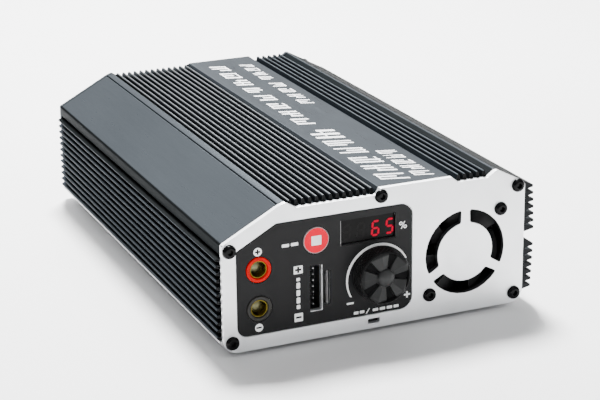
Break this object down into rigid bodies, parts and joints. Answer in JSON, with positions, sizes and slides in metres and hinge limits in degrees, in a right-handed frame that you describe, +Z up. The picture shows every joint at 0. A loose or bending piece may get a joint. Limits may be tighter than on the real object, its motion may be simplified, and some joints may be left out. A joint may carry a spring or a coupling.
{
  "type": "balance battery charger",
  "caption": "Finned aluminium benchtop charger for model battery packs, with a front panel of display, stop button, dial, output sockets, balance port and fan grille.",
  "frame": {"origin": "centre of the bounding box's bottom face, on the surface the four feet stand on", "axes": "+Z up, +Y from the front panel towards the rear plate, +X to the right as seen from the front"},
  "size_m": [0.1398, 0.2264, 0.061],
  "materials": {
    "housing_coat": "dark anodised extrusion, satin",
    "plate_metal": "bead-blasted silver anodised sheet",
    "tray_metal": "mill-finish silver extrusion",
    "overlay_film": "satin dark grey film",
    "button_red": "satin red cap",
    "display_black": "smoked seven-segment block",
    "knob_black": "knurled black skirt",
    "knob_grey": "satin grey face",
    "black_plastic": "moulded black plastic",
    "socket_red": "moulded red collar",
    "socket_black": "moulded black collar",
    "capacitor_sleeve": "shrink sleeve",
    "brass": "turned brass",
    "black_steel": "black-oxide screws",
    "bright_steel": "plated steel",
    "foot_rubber": "matt rubber",
    "board": "solder-masked circuit board",
    "ferrite": "dull sintered ferrite",
    "winding": "taped copper winding"
  },
  "bodies": {
    "charger": {"balance_header": "black_plastic", "balance_pin_1": "bright_steel", "balance_pin_2": "bright_steel", "balance_pin_3": "bright_steel", "balance_pin_4": "bright_steel", "balance_pin_5": "bright_steel", "balance_pin_6": "bright_steel", "balance_pin_7": "bright_steel", "base_tray": "tray_metal", "capacitor_1": "capacitor_sleeve", "capacitor_2": "capacitor_sleeve", "control_board": "board", "encoder_body": "bright_steel", "encoder_nut": "bright_steel", "fan_frame": "black_plastic", "fan_screw_1": "black_steel", "fan_screw_2": "black_steel", "foot_1": "foot_rubber", "foot_2": "foot_rubber", "foot_3": "foot_rubber", "foot_4": "foot_rubber", "front_overlay": "overlay_film", "front_plate": "plate_metal", "front_screw_1": "black_steel", "front_screw_2": "black_steel", "front_screw_3": "black_steel", "front_screw_4": "black_steel", "front_screw_5": "black_steel", "heat_spreader": "tray_metal", "housing": "housing_coat", "inlet_housing": "black_plastic", "inlet_pin_1": "bright_steel", "inlet_pin_2": "bright_steel", "inlet_pin_3": "bright_steel", "led_display": "display_black", "main_board": "board", "rear_plate": "housing_coat", "rear_screw_1": "black_steel", "rear_screw_2": "black_steel", "rear_screw_3": "black_steel", "rear_screw_4": "black_steel", "rear_screw_5": "black_steel", "service_socket": "bright_steel", "socket_negative_barrel": "brass", "socket_negative_bezel": "socket_black", "socket_negative_nut": "bright_steel", "socket_positive_barrel": "brass", "socket_positive_bezel": "socket_red", "socket_positive_nut": "bright_steel", "stop_switch": "bright_steel", "transformer_core": "ferrite", "transformer_winding": "winding"},
    "encoder_push": {"encoder_plunger": "black_plastic"},
    "knob": {"encoder_shaft": "bright_steel", "knob_body": "knob_black", "knob_cap": "knob_grey"},
    "stop_key": {"stop_button": "button_red", "stop_plunger": "black_plastic"},
    "fan_wheel": {"fan_rotor": "black_plastic"}
  },
  "joints": [
    {"name": "knob_press", "type": "slide", "parent": "charger", "child": "encoder_push", "axis": [0, 1, 0], "range_m": [0, 0.0005], "stiffness_N_per_m": 4000, "springref_m": -0.0003},
    {"name": "knob_turn", "type": "hinge", "parent": "encoder_push", "child": "knob", "pos_m": [-0.00255, -0.10353, 0.0263], "axis": [0, 1, 0], "continuous": true},
    {"name": "stop_press", "type": "slide", "parent": "charger", "child": "stop_key", "axis": [0, 1, 0], "range_m": [0, 0.0003], "stiffness_N_per_m": 5000, "springref_m": -0.0002},
    {"name": "fan_spin", "type": "hinge", "parent": "charger", "child": "fan_wheel", "pos_m": [0.03675, -0.09552, 0.0285], "axis": [0, 1, 0], "continuous": true}
  ]
}
